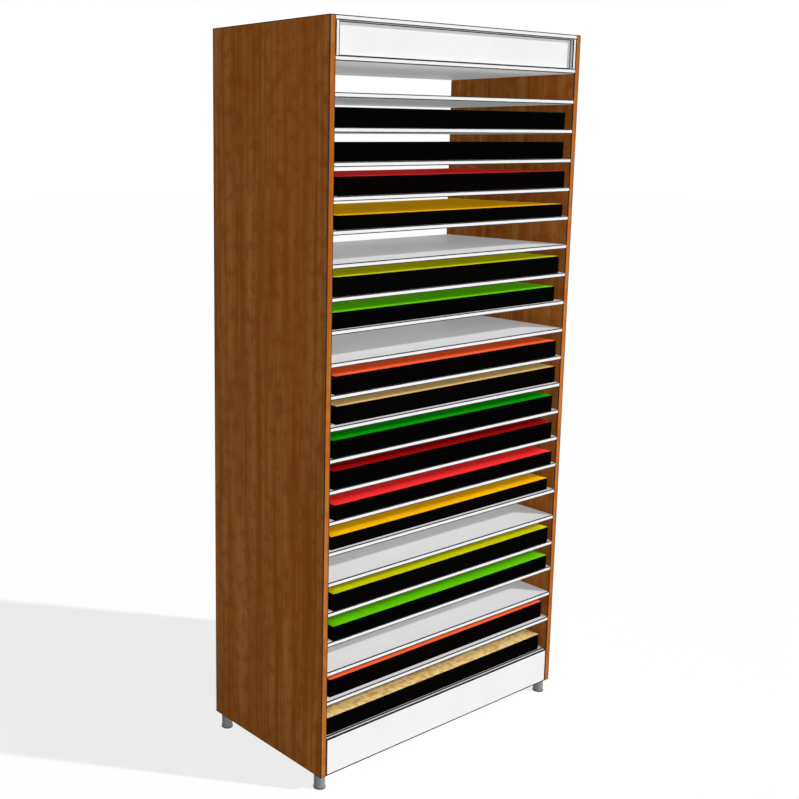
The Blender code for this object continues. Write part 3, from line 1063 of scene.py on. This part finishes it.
def lying_sheet(low, high, base, paper, chance):
    """The top sheet: half as thick as the ridges, and not quite flat."""
    across, deep = SHEET_CELLS
    thickness = paper.sheet / 2.0
    inset = 0.4 * paper.ragged
    phase = [chance.uniform(0.0, math.tau) for _ in range(4)]
    lift = [[0.0] * (deep + 1) for _ in range(across + 1)]
    for i in range(across + 1):
        for j in range(deep + 1):
            u, v = i / across, j / deep
            wave = math.sin(5.2 * u + phase[0]) * math.sin(3.1 * v + phase[1])
            wave += 0.5 * math.sin(9.0 * u + 4.0 * v + phase[2])
            corner = (abs(2.0 * u - 1.0) * abs(2.0 * v - 1.0)) ** 3
            lift[i][j] = paper.curl * min(1.0, max(0.0, 0.35 + 0.2 * wave + 0.6 * corner))
    vertices = []
    for layer in (0.0, thickness):
        for i in range(across + 1):
            for j in range(deep + 1):
                x = low.x + inset + (high.x - low.x - 2.0 * inset) * i / across
                y = low.y + inset + (high.y - low.y - 2.0 * inset) * j / deep
                vertices.append((x, y, base + lift[i][j] + layer))
    row = deep + 1
    layer_size = (across + 1) * row
    faces = []
    for i in range(across):
        for j in range(deep):
            a = i * row + j
            faces.append((a, a + 1, a + row + 1, a + row))
            b = a + layer_size
            faces.append((b, b + row, b + row + 1, b + 1))
    border = [i * row for i in range(across + 1)]
    border += [across * row + j for j in range(1, deep + 1)]
    border += [i * row + deep for i in range(across - 1, -1, -1)]
    border += [j for j in range(deep - 1, 0, -1)]
    for here, after in zip(border, border[1:] + border[:1]):
        faces.append((here, after, after + layer_size, here + layer_size))
    return vertices, faces


class DISPLAYRACK_OT_stage(Operator):
    """Set up the floor, the lamps, the sky and the camera"""

    bl_idname = "display_rack.stage"
    bl_label = "Studio"

    def execute(self, context):
        stage = context.scene.display_rack_stage
        context.scene.view_settings.view_transform = "Standard"
        lay_floor(context.scene, stage)
        hang_lamps(context.scene, stage)
        light_sky(context.scene, stage)
        place_camera(context.scene)
        return {"FINISHED"}


def lay_floor(scene, stage):
    """A level floor under the feet."""
    half = stage.floor_size / 2.0
    mesh = bpy.data.meshes.new("studio_floor")
    corners = [(-half, -half, 0.0), (half, -half, 0.0), (half, half, 0.0), (-half, half, 0.0)]
    mesh.from_pydata(corners, [], [(0, 1, 2, 3)])
    mesh.materials.append(floor_finish(stage))
    floor = bpy.data.objects.new("studio_floor", mesh)
    floor.location.z = CAD_BOX[0].z
    scene.collection.objects.link(floor)


def hang_lamps(scene, stage):
    """A main lamp from the upper front right, two low broad ones, and even ones without shadow or bounce."""
    for name, strength, angle, travel in (
        ("key_lamp", stage.key, stage.key_size, Vector((-0.545, 0.658, -0.517))),
        ("front_lamp", stage.fill, stage.fill_size, Vector((-0.42, 0.88, -0.20))),
        ("rear_lamp", stage.rear, stage.fill_size, Vector((-0.42, -0.88, -0.20))),
        ("even_lamp_above", stage.even_above, 0.0, Vector((0.0, 0.0, -1.0))),
        ("even_lamp_below", stage.even_below, 0.0, Vector((0.0, 0.0, 1.0))),
        ("even_lamp_left", stage.even_sides, 0.0, Vector((1.0, 0.0, 0.0))),
        ("even_lamp_right", stage.even_sides, 0.0, Vector((-1.0, 0.0, 0.0))),
        ("even_lamp_front", stage.even_front, 0.0, Vector((0.0, 1.0, 0.0))),
        ("even_lamp_rear", stage.even_rear, 0.0, Vector((0.0, -1.0, 0.0))),
    ):
        lamp = bpy.data.lights.new(name, "SUN")
        lamp.energy = strength
        lamp.angle = angle
        if name.startswith("even"):
            lamp.use_shadow = False
            lamp.cycles.max_bounces = 0
        holder = bpy.data.objects.new(name, lamp)
        holder.rotation_euler = travel.to_track_quat("-Z", "Y").to_euler()
        holder.location = -LAMP_DISTANCE * travel
        scene.collection.objects.link(holder)


def light_sky(scene, stage):
    """Even light all round, which the camera and polished surfaces see as plain white."""
    world = bpy.data.worlds.new("studio_sky")
    world.use_nodes = True
    tree = world.node_tree
    tree.nodes.clear()
    light = put(tree, "ShaderNodeBackground", {"Color": WHITE, "Strength": stage.sky})
    white = put(tree, "ShaderNodeBackground", {"Color": WHITE, "Strength": 1.0})
    mixed = put(
        tree, "ShaderNodeMixShader", {0: seen_directly(tree), 1: light.outputs[0], 2: white.outputs[0]}
    )
    output = tree.nodes.new("ShaderNodeOutputWorld")
    tree.links.new(mixed.outputs[0], output.inputs["Surface"])
    scene.world = world


def place_camera(scene):
    """The photograph's viewpoint: a standing eye, front left of the rack, level with its upper bays."""
    lens = bpy.data.cameras.new("view_camera")
    lens.lens = 52.19
    lens.sensor_width = 36.0
    lens.sensor_fit = "HORIZONTAL"
    lens.shift_x = 0.1901
    lens.shift_y = -0.055
    camera = bpy.data.objects.new("view_camera", lens)
    camera.location = (-2.2790, -2.2771, 1.6566)
    camera.rotation_euler = (math.radians(79.462), 0.0, math.radians(-37.647))
    scene.collection.objects.link(camera)
    scene.camera = camera


STEPS = (
    DISPLAYRACK_OT_side_panels,
    DISPLAYRACK_OT_header,
    DISPLAYRACK_OT_shelves,
    DISPLAYRACK_OT_plinth,
    DISPLAYRACK_OT_feet,
    DISPLAYRACK_OT_paper_piles,
    DISPLAYRACK_OT_stage,
)


class DISPLAYRACK_PT_panel(Panel):
    """The rack's settings and steps"""

    bl_idname = "DISPLAYRACK_PT_panel"
    bl_label = "Display Rack"
    bl_space_type = "VIEW_3D"
    bl_region_type = "UI"
    bl_category = "Display Rack"

    def draw(self, context):
        for attribute, settings in SETTINGS.items():
            box = self.layout.box()
            box.label(text=settings.__doc__.rstrip("."))
            for name in settings.__annotations__:
                box.prop(getattr(context.scene, attribute), name)
        for step in STEPS:
            self.layout.operator(step.bl_idname)


def register():
    """Makes the settings, the steps and the panel known to Blender."""
    for attribute, settings in SETTINGS.items():
        bpy.utils.register_class(settings)
        setattr(bpy.types.Scene, attribute, PointerProperty(type=settings))
    for made in (*STEPS, DISPLAYRACK_PT_panel):
        bpy.utils.register_class(made)


def unregister():
    """Takes them out again."""
    for made in (DISPLAYRACK_PT_panel, *reversed(STEPS)):
        bpy.utils.unregister_class(made)
    for attribute, settings in reversed(SETTINGS.items()):
        delattr(bpy.types.Scene, attribute)
        bpy.utils.unregister_class(settings)


def main():
    """Registers the add-on and runs every step in order."""
    register()
    for step in STEPS:
        group, name = step.bl_idname.split(".")
        getattr(getattr(bpy.ops, group), name)()


if __name__ == "__main__":
    main()
